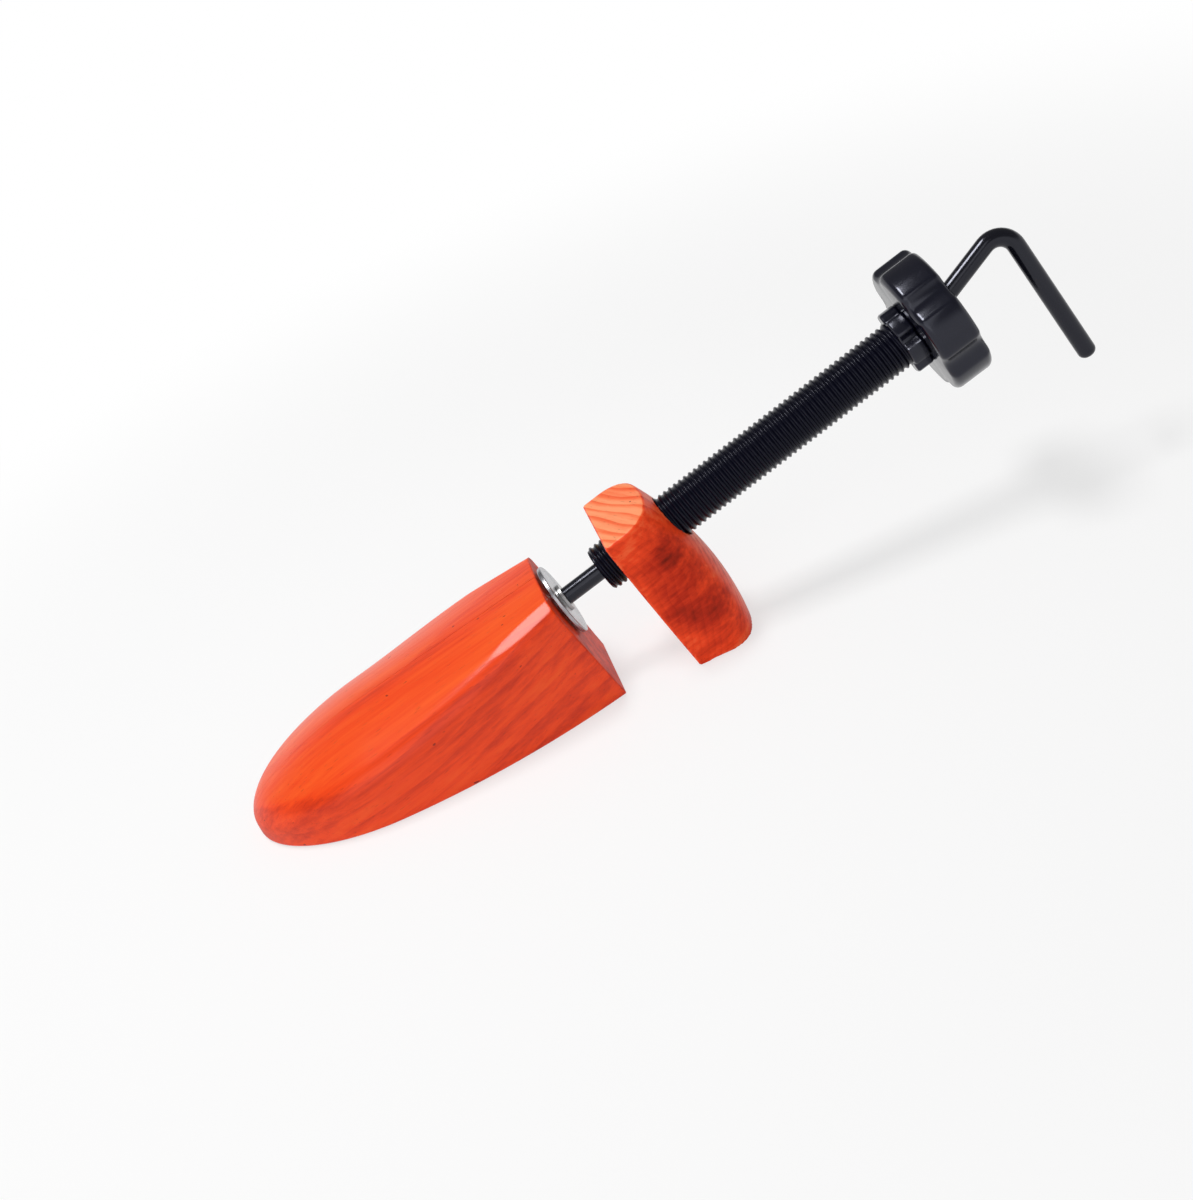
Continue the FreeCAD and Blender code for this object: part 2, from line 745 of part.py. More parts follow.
def main():
    """Write one file for each piece, with the origin under the middle of the whole part."""
    pieces = build()
    box = Part.makeCompound(list(pieces.values())).optimalBoundingBox()
    middle = (box.XMin + box.XMax) / 2
    print("rear face of the toe at X =", -middle, "box", box)
    os.makedirs("parts", exist_ok=True)
    for name, shape in pieces.items():
        shape.translate(Vector(-middle, 0, 0))
        print(name, "valid", shape.isValid(), "solids", len(shape.Solids), "volume", round(shape.Volume, 1))
        shape.exportStep(f"parts/{name}.step")


main()
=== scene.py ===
# %% [markdown]
# # Dressing a shoe stretcher
# The stretcher is a split wooden toe block, a wooden heel block, and one screw axis through both: a threaded
# black tube with a knob for length, and a crank rod inside it for width. The solids come packed from CAD and
# stay where they are. This lesson gives them their surfaces, and rebuilds the pieces whose character is in
# small form: the thread, the lobed grips, the softened wood and the bent rod.

# %% Load the solids and keep their box
import json
import math

import bmesh
import bpy
from mathutils import Matrix, Vector


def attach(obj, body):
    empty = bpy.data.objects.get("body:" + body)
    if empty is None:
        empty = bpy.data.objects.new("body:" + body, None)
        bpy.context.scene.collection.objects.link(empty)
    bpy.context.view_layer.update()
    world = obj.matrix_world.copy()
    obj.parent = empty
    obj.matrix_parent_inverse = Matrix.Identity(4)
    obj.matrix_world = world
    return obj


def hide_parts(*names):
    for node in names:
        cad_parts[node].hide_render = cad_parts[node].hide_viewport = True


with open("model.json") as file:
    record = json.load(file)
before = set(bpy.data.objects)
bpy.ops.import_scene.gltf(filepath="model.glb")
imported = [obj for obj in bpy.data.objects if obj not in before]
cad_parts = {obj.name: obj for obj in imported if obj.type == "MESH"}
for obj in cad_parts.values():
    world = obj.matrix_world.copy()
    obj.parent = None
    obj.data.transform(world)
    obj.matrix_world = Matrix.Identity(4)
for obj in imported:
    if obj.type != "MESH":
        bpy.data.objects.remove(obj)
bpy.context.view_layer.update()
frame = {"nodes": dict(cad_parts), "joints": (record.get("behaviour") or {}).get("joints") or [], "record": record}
nodes = frame["nodes"]

# %% [markdown]
# ## The screw axis
# Everything that turns does so about one tilted line. Its place could be typed in again, but the hinge in the
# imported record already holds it, so we read it there and build a small matrix: X runs along the screw towards
# the knob, Y to the left, Z up and away from it. A piece made around plain X is carried to its place by it.

# %% Read the axis and the pitches from the record
joints = {joint["name"]: joint for joint in frame["joints"]}
couplings = {c["joint"]: c["ratio"] for c in frame["record"]["behaviour"]["couplings"]}
along = -Vector(joints["length_turn"]["axis"]).normalized()
left = Vector((0, 1, 0))
upward = along.cross(left)
axis_start = Vector(joints["length_turn"]["pos_m"])
axis_frame = Matrix((along, left, upward)).transposed().to_4x4()
axis_frame.translation = axis_start
length_pitch = couplings["heel_travel"] * math.tau
width_pitch = couplings["wedge_travel"] * math.tau
tilt = math.degrees(math.asin(along.z))
print("tilt", round(tilt, 2), "pitches", round(length_pitch, 5), round(width_pitch, 5))


def axis_span(name):
    """Lowest and highest corner of a solid, measured along and across the screw axis."""
    to_axis = axis_frame.inverted()
    points = [to_axis @ vertex.co for vertex in nodes[name].data.vertices]
    low = Vector([min(point[i] for point in points) for i in range(3)])
    high = Vector([max(point[i] for point in points) for i in range(3)])
    return low, high


# %% [markdown]
# ## Camera
# The photograph looks down on the near side by about thirty degrees, and the picture itself is turned, so
# the screw climbs to the upper right. The camera is placed by those angles round a point near the toe block's
# rear face. The lens follows from the picture's height, so it holds for any render size of the same shape.

# %% Place the camera
millimetre = 0.001
view_turn = -1.28  # degrees round the upright
view_height = 29.85  # degrees over the horizon
picture_turn = -23.45  # degrees
view_distance = 700 * millimetre
aim_behind_toe = 14.54 * millimetre
aim_to_near_side = 10.8 * millimetre
focal_share = 1752.9 / 1200  # focal length over picture height
film_height = 24.0

turn, height = math.radians(view_turn), math.radians(view_height)
to_camera = Vector((math.sin(turn) * math.cos(height), -math.cos(turn) * math.cos(height), math.sin(height)))
aim = axis_start + Vector((aim_behind_toe, -aim_to_near_side, 0))
camera_data = bpy.data.cameras.new("photo_view")
camera_data.sensor_fit = "VERTICAL"
camera_data.sensor_height = film_height
camera_data.lens = focal_share * film_height
camera = bpy.data.objects.new("photo_view", camera_data)
bpy.context.collection.objects.link(camera)
level = to_camera.to_track_quat("Z", "Y").to_matrix()
rolled = level @ Matrix.Rotation(math.radians(picture_turn), 3, "Z")
camera.matrix_world = Matrix.Translation(aim + to_camera * view_distance) @ rolled.to_4x4()
bpy.context.scene.camera = camera
print("lens", round(camera_data.lens, 2), "camera at", [round(v, 3) for v in camera.location])

# %% [markdown]
# ## Writing node maths as sums
# Materials and Geometry Nodes both grow by joining sockets, which soon hides the idea behind the wires. One
# small class stands for a socket and turns Python's + - * / into Math nodes. One method makes any other node:
# it takes the type, the settings, and the values or links for its sockets.

# %% A socket that can be added up, and a graph that makes nodes


class Wire:
    """An output socket. Arithmetic on it adds Math nodes to its graph."""

    def __init__(self, graph, socket):
        self.graph = graph
        self.socket = socket

    def math(self, operation, *values):
        return self.graph.make("ShaderNodeMath", {"operation": operation}, dict(enumerate(values)))

    def __add__(self, other):
        return self.math("ADD", self, other)

    def __sub__(self, other):
        return self.math("SUBTRACT", self, other)

    def __rsub__(self, other):
        return self.math("SUBTRACT", other, self)

    def __mul__(self, other):
        return self.math("MULTIPLY", self, other)

    def __truediv__(self, other):
        return self.math("DIVIDE", self, other)

    def __pow__(self, other):
        return self.math("POWER", self, other)

    __radd__ = __add__
    __rmul__ = __mul__

    def least(self, other):
        return self.math("MINIMUM", self, other)

    def most(self, other):
        return self.math("MAXIMUM", self, other)

    def size(self):
        return self.math("ABSOLUTE", self)

    def step(self, low, high):
        """Rises smoothly from 0 at low to 1 at high."""
        settings = {"interpolation_type": "SMOOTHSTEP"}
        values = {"Value": self, "From Min": low, "From Max": high}
        return self.graph.make("ShaderNodeMapRange", settings, values)


class Graph:
    """Makes nodes in one tree."""

    def __init__(self, tree):
        self.tree = tree

    def make(self, kind, settings=None, values=None, output=0):
        node = self.tree.nodes.new(kind)
        for name, value in (settings or {}).items():
            if name == "stops":
                self.set_stops(node.color_ramp, value)
            else:
                setattr(node, name, value)
        for name, value in (values or {}).items():
            if isinstance(value, Wire):
                self.tree.links.new(value.socket, node.inputs[name])
            else:
                node.inputs[name].default_value = value
        return Wire(self, node.outputs[output]) if node.outputs else None

    def set_stops(self, ramp, stops):
        while len(ramp.elements) < len(stops):
            ramp.elements.new(1.0)
        for element, (place, colour) in zip(ramp.elements, stops):
            element.position = place
            element.color = (*colour, 1.0)

    def outputs(self, kind):
        """All the outputs of a node that needs no inputs, by name."""
        return {socket.name: Wire(self, socket) for socket in self.make(kind).socket.node.outputs}

    def parts(self, vector):
        """The three numbers of a vector."""
        split = self.make("ShaderNodeSeparateXYZ", values={"Vector": vector})
        return [Wire(self, socket) for socket in split.socket.node.outputs]

    def vector(self, x, y, z):
        return self.make("ShaderNodeCombineXYZ", values={"X": x, "Y": y, "Z": z})

    def dot(self, first, second):
        settings = {"operation": "DOT_PRODUCT"}
        return self.make("ShaderNodeVectorMath", settings, {0: first, 1: second}, output="Value")

    def noise(self, vector, scale, detail=2.0, roughness=0.5):
        values = {"Vector": vector, "Scale": scale, "Detail": detail, "Roughness": roughness}
        return self.make("ShaderNodeTexNoise", values=values)

    def blend(self, share, first, second):
        """Mixes two colours. The node repeats its sockets for each type, so the colour ones go by number."""
        values = {"Factor": share, 6: first, 7: second}
        return self.make("ShaderNodeMix", {"data_type": "RGBA"}, values, output=2)


print("node helpers ready")

# %% [markdown]
# ## A material to start from
# Every finish here is the same surface shader with other inputs. The helper makes the material and hands back
# its graph and a function that fills the shader's sockets. What is the same all over is set as a plain value,
# and what changes over the surface arrives as a wire. Places are measured along and across the screw axis, in
# millimetres, so that a pattern can follow the axis.

# %% Start a material


def start_material(name):
    """The graph of a new material, and a function that fills its surface shader."""
    material = bpy.data.materials.new(name)
    material.use_nodes = True
    material.node_tree.nodes.clear()
    graph = Graph(material.node_tree)

    def surface(**values):
        sockets = {key.replace("_", " "): value for key, value in values.items()}
        shader = graph.make("ShaderNodeBsdfPrincipled", values=sockets)
        graph.make("ShaderNodeOutputMaterial", values={"Surface": shader})
        return material

    return graph, surface


def axis_coordinates(graph):
    """Millimetres along the screw axis, to the left of it, and up from it."""
    place = graph.outputs("ShaderNodeTexCoord")["Object"]
    shifted = graph.make("ShaderNodeVectorMath", {"operation": "SUBTRACT"}, {0: place, 1: axis_start})
    return [graph.dot(shifted, way) / millimetre for way in (along, left, upward)]


def bumped(graph, height, depth):
    """A normal that follows a height of 0 to 1, with the depth of the relief in metres."""
    return graph.make("ShaderNodeBump", values={"Height": height, "Distance": depth})


print("material helpers ready")

# %% [markdown]
# ## Stained wood
# The blocks are a pale close-grained wood under an orange-red stain and a satin varnish. Three things make it
# read as wood: growth layers that cross the block, fine fibres along the grain, and the stain itself, which
# sinks deeper and darker into end grain. An image could show all that from one side. Layers that are worked
# out in space run through the block, so top, side and end agree at every edge.

# %% Make the wood
layer_bow = 0.01  # growth layers curve by this times the square of the way to the side
layer_drift = 14  # millimetres by which a layer wanders
pale_share = 0.35  # of a layer, before its dark part
dark_end = 0.92  # where its dark part ends
end_shade = 0.64  # in the middle of an end
# painted light: how much lighter the edges of an end are, for light on a rounded side
painted_edge_lift = 0.22  # by which its edges are lighter
wood_relief = 0.1 * millimetre


def stained_wood(name, block, fibre, layer_way, layer_spacing, layer_strength, figure, up_and_side_painted_shades, varnish,
                 tones):
    """Wood whose fibres run along one direction and whose growth layers cross another.

    The two shades are for faces that look up and for the rest. Lighter tops are painted light from above
    and darker sides are painted shade, besides the paler sawn top of the heel. The end grain of a block is
    stained darker, and its edges are painted lighter, for the light that falls on a rounded side.
    """
    graph, surface = start_material(name)
    place = axis_coordinates(graph)
    ways = [Vector(fibre), Vector(layer_way), Vector(fibre).cross(Vector(layer_way)).normalized()]
    grain, depth, side = [place[0] * way.x + place[1] * way.y + place[2] * way.z for way in ways]

    def stretched(along_grain, across_grain, detail, roughness=0.55):
        """Noise drawn out along the grain. Both sizes count its waves for each millimetre."""
        here = graph.vector(grain * along_grain, depth * across_grain, side * across_grain)
        return graph.noise(here, 1.0, detail, roughness)

    drift = stretched(0.012, 0.03, 2.0)
    layers = (depth + side * side * layer_bow + drift * layer_drift) / layer_spacing
    layer = layers.math("FRACT", layers)
    late_wood = layer.step(pale_share, dark_end) * (1 - layer.step(dark_end, 1.0))
    bands = stretched(0.007, 0.10, 2.0) - 0.5
    streaks = stretched(0.02, 0.55, 4.0) - 0.5
    fibres = stretched(0.07, 3.5, 3.0) - 0.5
    pores = stretched(0.16, 2.1, 1.0).step(0.68, 0.76)
    specks = stretched(0.22, 0.34, 1.0).step(0.77, 0.80)
    x, y, z = place
    mottle = graph.noise(graph.vector(x * 0.045, y * 0.11, z * 0.12), 1.0, 3.0, 0.55) - 0.5
    soaked = graph.noise(graph.vector(x * 0.07, y * 0.5, z * 0.6), 1.0, 4.0, 0.6) - 0.5

    normal = graph.outputs("ShaderNodeNewGeometry")["Normal"]
    end_grain = graph.dot(normal, axis_frame.to_3x3() @ ways[0]).size().step(0.5, 0.95)
    # painted light and shade: faces that look up get the lighter shade, the rest the darker one
    painted_top_light = graph.dot(normal, upward).step(0.80, 0.97)
    low, high = [corner / millimetre for corner in axis_span(block)]
    middle, half = (low + high) / 2, (high - low) / 2
    off_middle = (((x - middle.x) / half.x) ** 2 + ((z - middle.z) / half.z) ** 2) ** 0.5
    layer_share = late_wood * layer_strength * (1 - end_grain * 0.6)
    shade = up_and_side_painted_shades[0] * painted_top_light + up_and_side_painted_shades[1] * (1 - painted_top_light)
    shade = shade + (bands + streaks * 0.8) * figure + fibres * 0.16 + layer_share
    # painted light: an end grows lighter towards its edges, standing in for light on a rounded side
    painted_edge_light = off_middle.step(0.35, 1.0)
    end_tone = end_shade - painted_edge_light * painted_edge_lift + mottle * 0.9 + soaked * 0.4
    shade = shade * (1 - end_grain * 0.7) + end_grain * end_tone
    stops = [(i / (len(tones) - 1), tone) for i, tone in enumerate(tones)]
    stain = graph.make("ShaderNodeValToRGB", {"stops": stops}, {"Fac": shade})
    dark_spots = (pores * 0.35).most(specks * 0.85)
    return surface(
        Base_Color=graph.blend(dark_spots, stain, (*tones[-1], 1.0)),
        Roughness=0.42 + streaks * 0.16 + end_grain * 0.08 + pores * 0.1,
        Specular_IOR_Level=0.06,
        Coat_Weight=varnish * (1 - end_grain * 0.7 - pores * 0.3),
        Coat_Roughness=0.27,
        Normal=bumped(graph, fibres * 0.5 + late_wood * 0.2 - pores * 0.5, wood_relief),
    )


toe_tones = [(0.97, 0.160, 0.026), (0.93, 0.105, 0.011), (0.86, 0.058, 0.005), (0.56, 0.025, 0.003),
             (0.16, 0.009, 0.003)]
heel_tones = [(0.97, 0.330, 0.145), (0.94, 0.170, 0.055), (0.86, 0.060, 0.013), (0.50, 0.024, 0.006),
              (0.15, 0.008, 0.002)]
toe_wood = stained_wood(
    "toe_wood", "toe_half_right", fibre=(1, 0, 0), layer_way=(0, 0.35, 0.94), layer_spacing=9.0,
    layer_strength=0.10, figure=0.55, up_and_side_painted_shades=(0.36, 0.53), varnish=0.45, tones=toe_tones,
)
heel_wood = stained_wood(
    "heel_wood", "heel_block", fibre=(0.46, -0.88, 0.09), layer_way=(0.85, 0.45, 0.27), layer_spacing=4.0,
    layer_strength=0.26, figure=0.5, up_and_side_painted_shades=(0.06, 0.38), varnish=0.25, tones=heel_tones,
)
print("wood:", toe_wood.name, heel_wood.name)

# %% [markdown]
# ## Black plastic, black rod
# The tube, knob and lock nut are moulded in black plastic with a soft sheen and the faint pebble that a mould
# leaves. The rod is steel in gloss black paint, which pools very slightly, like the skin of an orange. Both
# are almost the same black, so the difference has to come from roughness and relief.

# %% Make the two blacks
cool_shine = (0.84, 0.86, 1.0, 1.0)
plastic_dark = (0.0026, 0.0027, 0.0080, 1)
plastic_rubbed = (0.009, 0.009, 0.017, 1)
paint_dark = (0.0035, 0.0035, 0.0065, 1)
paint_dusty = (0.03, 0.03, 0.034, 1)
paint_relief = 0.02 * millimetre


def moulded_black(name, roughness, shine, pebble):
    """Black plastic with a pebbled skin, rubbed paler in places."""
    graph, surface = start_material(name)
    x, y, z = axis_coordinates(graph)
    here = graph.vector(x, y, z)
    pebbles = graph.noise(here, 5.0, 3.0) - 0.5
    flow = graph.noise(graph.vector(x * 0.05, y * 0.2, z * 0.2), 1.0, 2.0) - 0.5
    rubbed = graph.noise(here, 0.3, 4.0, 0.65).step(0.55, 0.8)
    return surface(
        Base_Color=graph.blend(rubbed * 0.6, plastic_dark, plastic_rubbed),
        Roughness=roughness + pebbles * 0.04 + flow * 0.08 + rubbed * 0.05,
        Specular_IOR_Level=shine,
        Specular_Tint=cool_shine,
        Normal=bumped(graph, pebbles, pebble),
    )


def black_paint(name):
    """Gloss paint with a slightly uneven skin and a little dust in it."""
    graph, surface = start_material(name)
    here = graph.vector(*axis_coordinates(graph))
    skin = graph.noise(here, 0.8, 2.0)
    dust = graph.noise(here, 3.5, 1.0).step(0.70, 0.76)
    return surface(
        Base_Color=graph.blend(dust * 0.35, paint_dark, paint_dusty),
        Roughness=0.12 + skin * 0.1 + dust * 0.2,
        Specular_IOR_Level=0.42,
        Specular_Tint=cool_shine,
        Normal=bumped(graph, skin, paint_relief),
    )


tube_black = moulded_black("tube_black", roughness=0.26, shine=0.16, pebble=0.006 * millimetre)
grip_black = moulded_black("grip_black", roughness=0.19, shine=0.50, pebble=0.0006 * millimetre)
rod_black = black_paint("rod_black")
print("blacks:", tube_black.name, grip_black.name, rod_black.name)

# %% [markdown]
# ## Steel and brass
# The thrust disc is bright turned steel, so its marks run in circles round the axis: a noise that reads only
# the distance from the axis gives rings. The parts inside the toe are plain machined steel, with marks along
# their length, and the sleeves are brass that has dulled unevenly.

# %% Make the metals
mark_depth = 0.015 * millimetre


def worked_metal(name, tint, dull, roughness, turned=True):
    """Metal with tool marks round the screw axis where it was turned, or else along it."""
    graph, surface = start_material(name)
    x, y, z = axis_coordinates(graph)
    radius = (y * y + z * z) ** 0.5
    path = graph.vector(radius * 5, x * 2, 0.0) if turned else graph.vector(x * 0.15, y * 6, z * 6)
    marks = graph.noise(path, 1.0, 4.0, 0.65) - 0.5
    cloud = graph.noise(graph.vector(x, y, z), 0.15, 3.0)
    return surface(
        Base_Color=graph.blend(cloud.step(0.3, 0.75), (*tint, 1), (*dull, 1)),
        Metallic=1.0,
        Roughness=roughness + marks * 0.16 + cloud * 0.08,
        Normal=bumped(graph, marks, mark_depth),
    )


disc_steel = worked_metal("disc_steel", (0.46, 0.46, 0.48), (0.31, 0.31, 0.33), roughness=0.22)
ring_steel = worked_metal("ring_steel", (0.52, 0.52, 0.52), (0.38, 0.37, 0.37), roughness=0.28)
frame_steel = worked_metal("frame_steel", (0.52, 0.52, 0.53), (0.37, 0.37, 0.38), roughness=0.3, turned=False)
sleeve_brass = worked_metal("sleeve_brass", (0.76, 0.53, 0.22), (0.52, 0.35, 0.14), roughness=0.24)
print("metals:", disc_steel.name, ring_steel.name, frame_steel.name, sleeve_brass.name)

# %% [markdown]
# ## Dressing the solids that keep their shape
# The pieces inside the toe, the disc and the sleeves are right as they come. They only need a finish, which
# goes into the solid's own material slot.

# %% Give each kept solid its finish
finishes = {
    disc_steel: ["thrust_disc"],
    frame_steel: ["spreader_yoke", "guide_pins", "wedge_nut", "ramp_rail_left", "ramp_rail_right",
                  "rail_screws_left", "rail_screws_right", "collar_pin"],
    ring_steel: ["rod_clips", "end_stop", "thrust_collar", "rear_clip", "front_washer", "rear_washer"],
    sleeve_brass: ["guide_bushes_left", "guide_bushes_right", "front_bush", "rear_bush", "heel_insert"],
}
for finish, names in finishes.items():
    for name in names:
        nodes[name].data.materials.clear()
        nodes[name].data.materials.append(finish)
print("kept solids:", sum(len(names) for names in finishes.values()))

# %% [markdown]
# ## From a mesh to a piece
# A finished piece is a plain mesh at the origin with its place in its points. It rides on the body that
# carries it, and stands for the solid that it replaces.

# %% Helpers that finish a piece


def smooth(mesh, angle=35):
    """Smooth shading, kept crisp at edges sharper than the angle."""
    mesh.shade_smooth()
    mesh.set_sharp_from_angle(angle=math.radians(angle))


def on_stage(name, mesh):
    """An object for a mesh, in the scene."""
    made = bpy.data.objects.new(name, mesh)
    bpy.context.collection.objects.link(made)
    return made


def finish_piece(name, mesh, body, solid):
    """Sets a mesh on the body that carries it, in the place of its solid."""
    piece = on_stage(name, mesh)
    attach(piece, body)
    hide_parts(solid)
    print(name, "on", body, "-", len(mesh.polygons), "faces")


def baked(maker):
    """The mesh that an object's modifiers give. The object itself is removed."""
    bpy.context.view_layer.update()
    evaluated = maker.evaluated_get(bpy.context.evaluated_depsgraph_get())
    mesh = bpy.data.meshes.new_from_object(evaluated)
    bpy.data.objects.remove(maker)
    return mesh


def to_mesh(shape, name, material):
    """A mesh from an edit mesh, which is freed."""
    mesh = bpy.data.meshes.new(name)
    shape.to_mesh(mesh)
    shape.free()
    mesh.materials.append(material)
    return mesh


print("piece helpers ready")

# %% [markdown]
# ## Softened wood
# A wooden block never has a knife edge: sanding and varnish round every rim by about half a millimetre.
# Bevels along the cut solids would have to follow many odd edges. A voxel remesh does it in one step: the
# copy of the solid is wrapped in an even skin of small squares, and a little smoothing draws the edges round.
# Only the saw cut between the toe halves stays sharp: each half is first stretched across the cut, and cut
# clean afterwards, by a plane that leans a little, so that the cut closes at the floor. Last, a shaving comes
# off the toe's upper long edges and leaves the narrow strip that catches the light.

# %% Helpers that soften, cut and plane
skin_size = 0.6 * millimetre
skin_easing = 4  # rounds of smoothing
saw_cut = 0.2 * millimetre  # at the top
point_weld = 0.001 * millimetre
shaving = 0.8 * millimetre
strip_bow = 0.25 * millimetre
strip_lean = math.radians(28)  # from looking up to looking aside
strip_drop = 0.12  # fall of the strip towards the tip


def merged_copy(node_name):
    """A copy of a solid whose triangles share their corners."""
    shape = bmesh.new()
    shape.from_mesh(nodes[node_name].data)
    bmesh.ops.remove_doubles(shape, verts=shape.verts, dist=point_weld)
    return shape


def softened(shape, name, material):
    """The shape in an even skin, with its edges drawn round."""
    block = on_stage(name, to_mesh(shape, name, material))
    skin = block.modifiers.new("skin", "REMESH")
    skin.mode = "VOXEL"
    skin.voxel_size = skin_size
    ease = block.modifiers.new("ease", "SMOOTH")
    ease.iterations = skin_easing
    mesh = baked(block)
    mesh.materials.clear()
    mesh.materials.append(material)
    return mesh


def cut_clean(mesh, sign):
    """Takes away what lies past the saw cut on one side of the middle, and closes the hole.

    The cut is widest at the top and ends at the floor, so that nothing shines through it.
    """
    shape = bmesh.new()
    shape.from_mesh(mesh)
    everything = shape.verts[:] + shape.edges[:] + shape.faces[:]
    top = max(vertex.co.z for vertex in shape.verts)
    cut = bmesh.ops.bisect_plane(shape, geom=everything, plane_co=(0, 0, 0),
                                 plane_no=(0, sign, -saw_cut / 2 / top), clear_inner=True)
    rim = [part for part in cut["geom_cut"] if isinstance(part, bmesh.types.BMEdge)]
    bmesh.ops.triangle_fill(shape, edges=rim, use_beauty=True, normal=(0, -sign, 0))
    shape.to_mesh(mesh)
    shape.free()


def planed(mesh, sign):
    """Takes a thin shaving off the upper long edge, which leaves a narrow strip, nearly flat, along it."""
    facing = Vector((-strip_drop, sign * math.sin(strip_lean), math.cos(strip_lean))).normalized()
    level = max(facing.dot(vertex.co) for vertex in mesh.vertices) - shaving
    for vertex in mesh.vertices:
        over = max(facing.dot(vertex.co) - level, 0)
        vertex.co -= facing * over * over / (over + strip_bow)


print("skin squares of", round(skin_size / millimetre, 2), "mm")

# %% Round the edges of the three blocks
stretch = 2.0 * millimetre  # of a toe half past the middle
flat_within = 0.01 * millimetre  # of the inner face, for its own points
wood_crease = 55  # degrees

for side, sign in (("left", 1), ("right", -1)):
    half = merged_copy(f"toe_half_{side}")
    inner_face = min(sign * vertex.co.y for vertex in half.verts)
    for vertex in half.verts:
        if sign * vertex.co.y < inner_face + flat_within:
            vertex.co.y = -sign * stretch
    half_mesh = softened(half, f"toe_block_{side}", toe_wood)
    cut_clean(half_mesh, sign)
    planed(half_mesh, sign)
    smooth(half_mesh, wood_crease)
    finish_piece(f"toe_block_{side}", half_mesh, f"{side}_half", f"toe_half_{side}")

heel_mesh = softened(merged_copy("heel_block"), "heel_wood_block", heel_wood)
smooth(heel_mesh, wood_crease)
finish_piece("heel_wood_block", heel_mesh, "heel", "heel_block")

# %% [markdown]
# ## The thread
# The tube carries a coarse rounded thread over its whole length. It could be a profile swept along a helix,
# but the sweep leaves open seams between the turns. Here one long grid is rolled up instead: across the grid
# runs one pitch of the profile, along it run the turns, and Geometry Nodes place every point. Neighbouring
# turns share their edge points, so merging them closes the skin. The same tree makes the spreader screw.

# %% Grow a thread from a grid
profile_points = 9  # over one pitch
spare_turns = 2  # one past each end, pressed flat there
root_share, crest_share = 0.12, 0.88  # of the flank, where the root ends and the crest starts
turn_weld = 0.002 * millimetre


def new_tree(name, sockets):
    """An empty tree, its graph, and its named inputs as wires."""
    tree = bpy.data.node_groups.new(name, "GeometryNodeTree")
    for socket, kind in sockets.items():
        tree.interface.new_socket(name=socket, in_out="INPUT", socket_type="NodeSocket" + kind)
    tree.interface.new_socket(name="Geometry", in_out="OUTPUT", socket_type="NodeSocketGeometry")
    graph = Graph(tree)
    return tree, graph, graph.outputs("NodeGroupInput")


def close_tree(graph, geometry, finish):
    """Ends a tree with real geometry and its material."""
    plain = graph.make("GeometryNodeRealizeInstances", values={"Geometry": geometry})
    dressed = graph.make("GeometryNodeSetMaterial", values={"Geometry": plain, "Material": finish})
    graph.make("NodeGroupOutput", values={"Geometry": dressed})


def thread_tree():
    """A tree that rolls a grid up into a thread along X, with chamfered ends."""
    sizes = {name: "Float" for name in ("Outer Radius", "Root Radius", "Pitch", "Start", "End", "Chamfer")}
    tree, graph, given = new_tree("thread", {**sizes, "Sides": "Int", "Finish": "Material"})
    outer, root, pitch, start, end = [given[name] for name in list(sizes)[:5]]
    turns = (end - start) / pitch + spare_turns
    steps = turns.math("FLOOR", turns * given["Sides"])
    grid_sizes = {"Size X": 1.0, "Size Y": 1.0, "Vertices X": steps + 1, "Vertices Y": profile_points}
    grid = graph.make("GeometryNodeMeshGrid", values=grid_sizes)
    lengthwise, crosswise, _ = graph.parts(graph.make("GeometryNodeInputPosition"))
    turned = (lengthwise + 0.5) * steps / given["Sides"]
    share = crosswise + 0.5
    place = (start - pitch + (turned + share) * pitch).most(start).least(end)

    ridge = (1 - (share * 2 - 1).size()).step(root_share, crest_share)
    from_end = (place - start).least(end - place)
    limit = outer - (given["Chamfer"] - from_end).most(0.0)
    radius = (root + (outer - root) * ridge).least(limit)
    angle = turned * math.tau
    around = graph.vector(place, radius * angle.math("COSINE", angle), radius * angle.math("SINE", angle))
    rolled_up = graph.make("GeometryNodeSetPosition", values={"Geometry": grid, "Position": around})
    welding = {"Geometry": rolled_up, "Distance": turn_weld}
    close_tree(graph, graph.make("GeometryNodeMergeByDistance", values=welding), given["Finish"])
    return tree


def from_nodes(name, tree, values, start_mesh=None):
    """The plain mesh that a tree of nodes makes from its named inputs."""
    maker = on_stage(name, start_mesh or bpy.data.meshes.new(name))
    modifier = maker.modifiers.new(name, "NODES")
    modifier.node_group = tree
    for socket in tree.interface.items_tree:
        if socket.name in values:
            modifier[socket.identifier] = values[socket.name]
    return baked(maker)


thread = thread_tree()
print("thread tree with", len(thread.nodes), "nodes")

# %% [markdown]
# ## Turned shapes
# Bores, collars and end faces are lathe work: an outline of (place, radius) pairs spun about the axis. The
# points sit at the same angles as the thread's, so the two skins weld where they meet.

# %% Spin an outline
skin_weld = 0.003 * millimetre


def spun(outline, sides):
    """Faces of an outline of (place, radius) pairs, spun round X."""
    shape = bmesh.new()
    angles = [math.tau * i / sides for i in range(sides)]
    rings = [[shape.verts.new((place, radius * math.cos(a), radius * math.sin(a))) for a in angles]
             for place, radius in outline]
    for ring, following in zip(rings, rings[1:]):
        for i in range(sides):
            j = (i + 1) % sides
            shape.faces.new((ring[i], ring[j], following[j], following[i]))
    return shape


def weld(shape):
    """Joins the skins of a shape where they meet, and turns its faces outwards."""
    bmesh.ops.remove_doubles(shape, verts=shape.verts, dist=skin_weld)
    bmesh.ops.recalc_face_normals(shape, faces=shape.faces)


print("lathe ready")

# %% [markdown]
# ## The length tube
# The thread is the tube's outside. Inside are the stepped bores that hold the collar and the bushes and leave
# room for the rod, so the ends look like the end of a tube and not like a plug.

